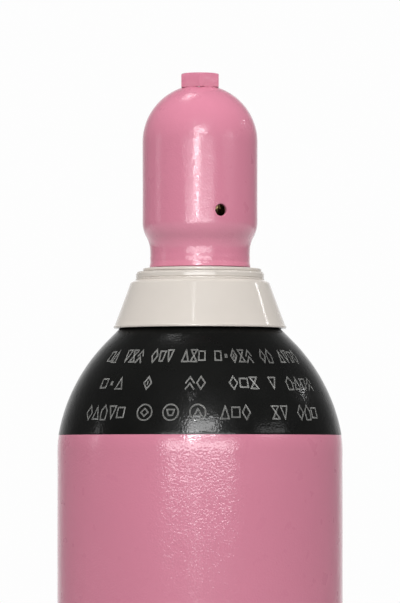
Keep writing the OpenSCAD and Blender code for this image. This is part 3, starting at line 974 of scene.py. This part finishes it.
def spring():
    """Round wire with closed ends, as one curve."""
    curve = bpy.data.curves.new("handwheel_spring_wire", "CURVE")
    curve.dimensions, curve.bevel_depth, curve.bevel_resolution = "3D", WIRE_R * MM, 5
    curve.use_fill_caps = True
    line = curve.splines.new("POLY")
    steps = 160
    line.points.add(steps)
    for i in range(steps + 1):
        turn = 2 * math.pi * SPRING_TURNS * i / steps
        x, y = SPRING_R * math.cos(turn), SPRING_R * math.sin(turn)
        height = NECK_TOP + 80.7 + 4.6 * i / steps
        line.points[i].co = (x * MM, y * MM, height * MM, 1)
    piece = bpy.data.objects.new("handwheel_spring_wire", curve)
    bpy.context.scene.collection.objects.link(piece)
    curve.materials.append(STEEL)
    return place(piece, "spindle", "ring_steel", "handwheel_spring")


# ---- CAD nodes that keep their own shape ----

KEPT = {
    "thread_seal": NYLON,
    "valve_seat": NYLON,
    "lower_spindle": BRASS,
    "slip_washer": NYLON,
    "spindle_o_ring": RUBBER,
    "backup_ring": NYLON,
    "gland_gasket": NYLON,
}


def finish_kept_nodes():
    """Gives these nodes their materials."""
    for name, material in KEPT.items():
        mesh = frame["nodes"][name].data
        mesh.materials.clear()
        mesh.materials.append(material)


# ---- camera, light and floor ----

CAMERA_DISTANCE = 4.4
CAMERA_HEIGHT = (BORDER - 23) * MM
AIM_HEIGHT = (BORDER + 125) * MM
PICTURE_HEIGHT = 0.565
LAMP_AIM = Vector((0, 0, (BORDER + 120) * MM))
WHITE = 0.985


def camera():
    """Straight in front, a little lower than the border of the paints, and aimed above it."""
    data = bpy.data.cameras.new("camera")
    view = bpy.data.objects.new("camera", data)
    bpy.context.scene.collection.objects.link(view)
    bpy.context.scene.camera = view
    view.location = (0, -CAMERA_DISTANCE, CAMERA_HEIGHT)
    aim = Vector((0, CAMERA_DISTANCE, AIM_HEIGHT - CAMERA_HEIGHT))
    view.rotation_euler = aim.to_track_quat("-Z", "Y").to_euler()
    data.lens = data.sensor_width * aim.length / PICTURE_HEIGHT
    data.clip_end = 60


def lamp(name, azimuth, height, distance, size, power, glossy=True, diffuse=True):
    """A rectangular lamp, turned towards the collar. Lengths are in metres."""
    turn = math.radians(azimuth)
    data = bpy.data.lights.new(name, "AREA")
    data.shape, data.size, data.size_y, data.energy = "RECTANGLE", *size, power
    light = bpy.data.objects.new(name, data)
    bpy.context.scene.collection.objects.link(light)
    light.location = (distance * math.sin(turn), -distance * math.cos(turn), height)
    away = light.location - LAMP_AIM
    light.rotation_euler = away.to_track_quat("Z", "Y").to_euler()
    light.visible_camera = False
    light.visible_glossy, light.visible_diffuse = glossy, diffuse


# Name, azimuth, height, distance, size and power. These are seen only in the gloss
GLOSS_LAMPS = [
    ("low_panel", -1, 1.43, 1.5, (1.5, 0.20), 8.5),
    ("cap_panel", -1, 1.66, 1.5, (1.75, 0.15), 1.5),
    ("high_panel", 1.5, 2.66, 3.0, (1.35, 0.52), 30),
    ("strip", -6.2, 1.71, 1.5, (0.17, 0.2), 3.4),
    ("low_strip", -3.2, 1.19, 1.5, (0.03, 0.30), 0.15),
    ("glint", -9, 2.8, 1.6, (0.07, 0.07), 0.25),
    ("hexagon_panel", 60, 1.9, 2.0, (0.9, 0.24), 1.6),
    ("right_spot", 112, 2.5, 2.3, (0.05, 0.06), 0.7),
    ("left_strip", -92, 1.75, 2.5, (0.2, 0.7), 1.0),
    ("overhead", -138, 3.6, 0.7, (0.6, 0.4), 3.4),
]
# These are seen in all but the gloss: broad soft light from the front, from above and from behind
SOFT_LAMPS = [
    ("fill", -5, 3.1, 3.1, (2.4, 2.0), 49),
    ("top", 8, 2.1, 0.9, (0.9, 0.9), 2.3),
    ("back_left", -140, 2.2, 3.1, (2.0, 2.6), 30),
    ("back_right", 140, 2.2, 3.1, (2.0, 2.6), 30),
]


def lights():
    for row in GLOSS_LAMPS:
        lamp(*row, diffuse=False)
    for row in SOFT_LAMPS:
        lamp(*row, glossy=False)


# How bright the room is in the gloss, by how far a direction points away from the front
ROOM = [(0.0, 0.05), (0.6, 0.06), (0.78, 0.16), (0.88, 0.42), (1.0, 1.0)]


def world():
    """White for the camera, a dark room with a bright back wall in the gloss, light from above."""
    scene_world = bpy.data.worlds.new("studio")
    bpy.context.scene.world = scene_world
    scene_world.use_nodes = True
    nodes, links = scene_world.node_tree.nodes, scene_world.node_tree.links
    path = nodes.new("ShaderNodeLightPath")
    split = nodes.new("ShaderNodeSeparateXYZ")
    links.new(nodes.new("ShaderNodeTexCoord").outputs["Generated"], split.inputs[0])
    room = nodes.new("ShaderNodeValToRGB")
    stops = room.color_ramp.elements
    while len(stops) < len(ROOM):
        stops.new(0.5)
    for stop, (position, grey) in zip(stops, ROOM):
        stop.position, stop.color = position, (grey, grey, grey, 1)
    links.new(split.outputs["Y"], room.inputs["Fac"])
    sky = nodes.new("ShaderNodeMapRange")
    for key, value in {"From Min": -1, "From Max": 1, "To Min": 0.03, "To Max": 1.0}.items():
        sky.inputs[key].default_value = value
    links.new(split.outputs["Z"], sky.inputs["Value"])
    strength = mix_numbers(
        nodes, links, path.outputs["Is Glossy Ray"], sky.outputs["Result"], room.outputs["Color"]
    )
    strength = mix_numbers(nodes, links, path.outputs["Is Camera Ray"], strength, WHITE)
    back = nodes["Background"]
    back.inputs["Color"].default_value = (1, 1, 1, 1)
    links.new(strength, back.inputs["Strength"])


def mix_numbers(nodes, links, factor, a, b):
    """Number a where factor is 0 and b where it is 1."""
    node = nodes.new("ShaderNodeMix")
    links.new(factor, node.inputs["Factor"])
    for socket, value in ((node.inputs["A"], a), (node.inputs["B"], b)):
        if isinstance(value, float):
            socket.default_value = value
        else:
            links.new(value, socket)
    return node.outputs["Result"]


def floor():
    """A wide pale disc that throws no light back onto the object."""
    bpy.ops.mesh.primitive_circle_add(vertices=96, radius=15, fill_type="NGON")
    disc = bpy.context.object
    disc.name = "floor"
    disc.data.materials.append(plain_floor("pale_floor", (0.44, 0.44, 0.44)))
    disc.visible_diffuse = False


bpy.context.scene.view_settings.view_transform = "Standard"
camera()
world()
lights()
floor()

body()
shoulder()
neck()
stamps()
neck_ring()
skirt()
lock_ring()
top_ring()
cap()
hex_boss()
hex_weld()
valve_body()
outlet_nose()
gland_nut()
spindle()
handwheel()
wheel_fasteners()
spring()
finish_kept_nodes()
